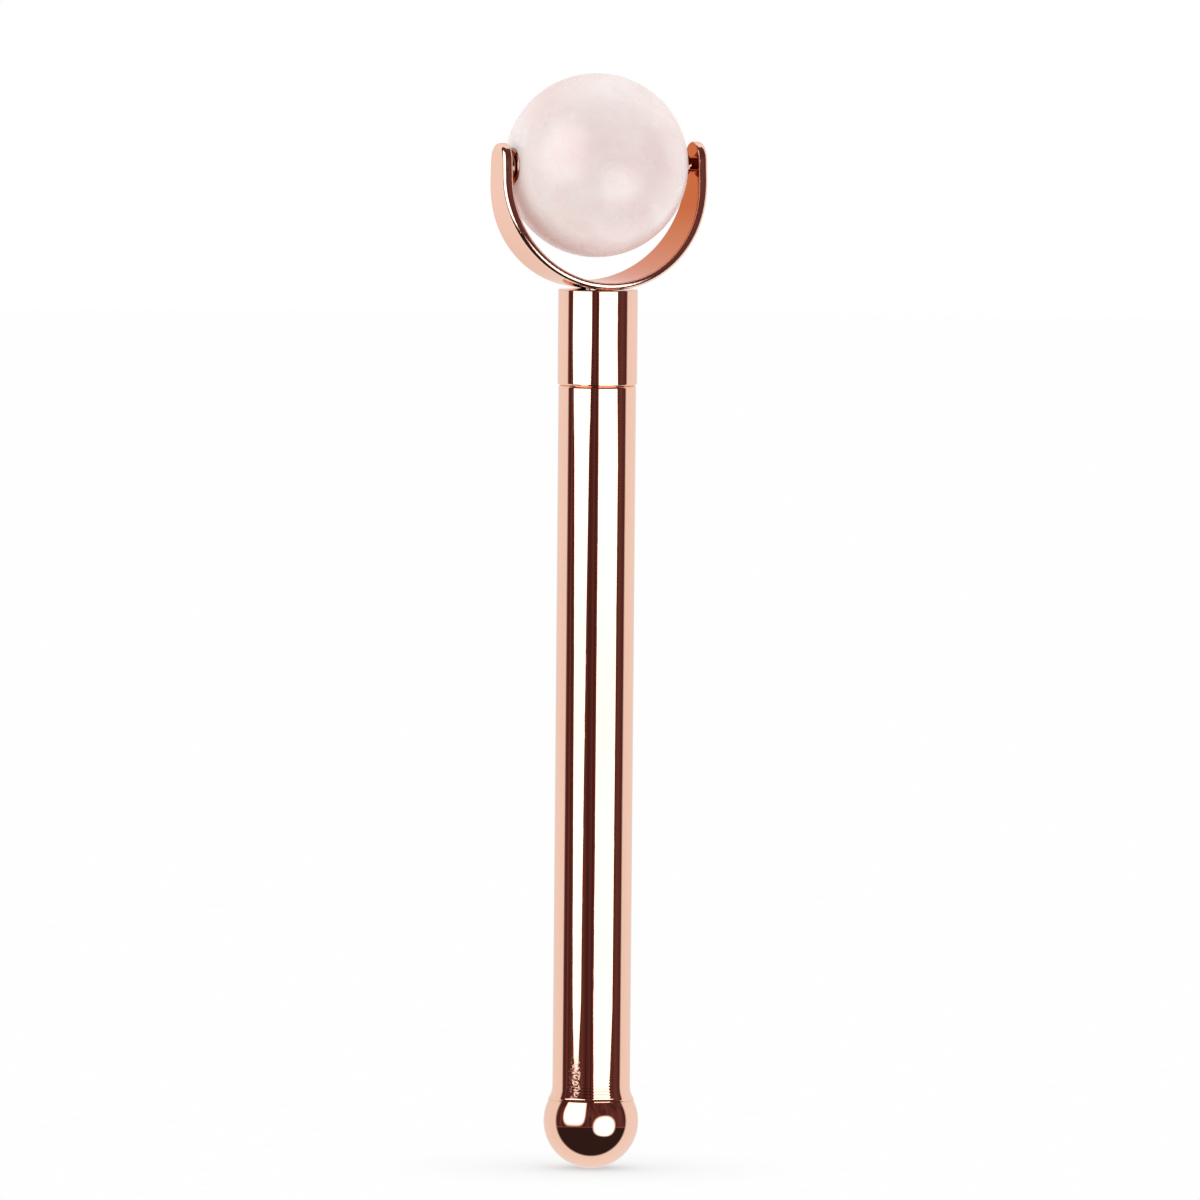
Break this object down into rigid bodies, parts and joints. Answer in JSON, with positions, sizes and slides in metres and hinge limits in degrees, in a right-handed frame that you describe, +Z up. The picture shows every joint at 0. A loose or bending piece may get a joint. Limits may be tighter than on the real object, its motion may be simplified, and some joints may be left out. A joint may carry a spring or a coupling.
{
  "type": "face roller",
  "caption": "Hand-held face roller: a polished stone ball turns on a pin between the arms of a C-shaped metal yoke, on a slim tubular handle that ends in a ball finial.",
  "frame": {"origin": "lowest point of the finial, on the handle's axis", "axes": "+Z up the handle towards the ball, X along the ball's pin, Y through the strap's edges; the roller's left arm is at -X seen from -Y"},
  "size_m": [0.0362, 0.03, 0.179],
  "materials": {
    "stone": "polished, cloudy pale pink",
    "plated_metal": "mirror, rose-gold plating",
    "nylon": "natural nylon",
    "fastener_steel": "bright zinc plated",
    "insert_brass": "turned brass",
    "rubber": "matte black nitrile"
  },
  "bodies": {
    "handle": {"handle_tube": "plated_metal", "top_plug": "insert_brass", "bottom_plug": "insert_brass", "finial_stud": "fastener_steel", "finial": "plated_metal"},
    "ring": {"seal_ring": "rubber"},
    "head": {"collar": "plated_metal", "collar_insert": "insert_brass", "yoke": "plated_metal", "yoke_stud": "fastener_steel", "yoke_washer": "fastener_steel", "yoke_nut": "fastener_steel", "axle_pin": "plated_metal"},
    "sleeve": {"axle_sleeve": "nylon"},
    "ball": {"stone_ball": "stone", "left_ball_cap": "plated_metal", "right_ball_cap": "plated_metal"}
  },
  "joints": [
    {"name": "head_lift", "type": "slide", "parent": "handle", "child": "ring", "axis": [0, 0, 1], "range_m": [0, 0.00601]},
    {"name": "head_unscrew", "type": "hinge", "parent": "ring", "child": "head", "pos_m": [0, 0, 0.1282], "axis": [0, 0, 1], "range_deg": [0, 2160]},
    {"name": "ball_end_play", "type": "slide", "parent": "head", "child": "sleeve", "axis": [1, 0, 0], "range_m": [0, 0.001]},
    {"name": "ball_spin", "type": "hinge", "parent": "sleeve", "child": "ball", "pos_m": [-0.0005, 0, 0.164], "axis": [1, 0, 0], "continuous": true}
  ],
  "couplings": [
    {"joint": "head_lift", "follows": "head_unscrew", "m_per_rad": 0.00015915}
  ]
}
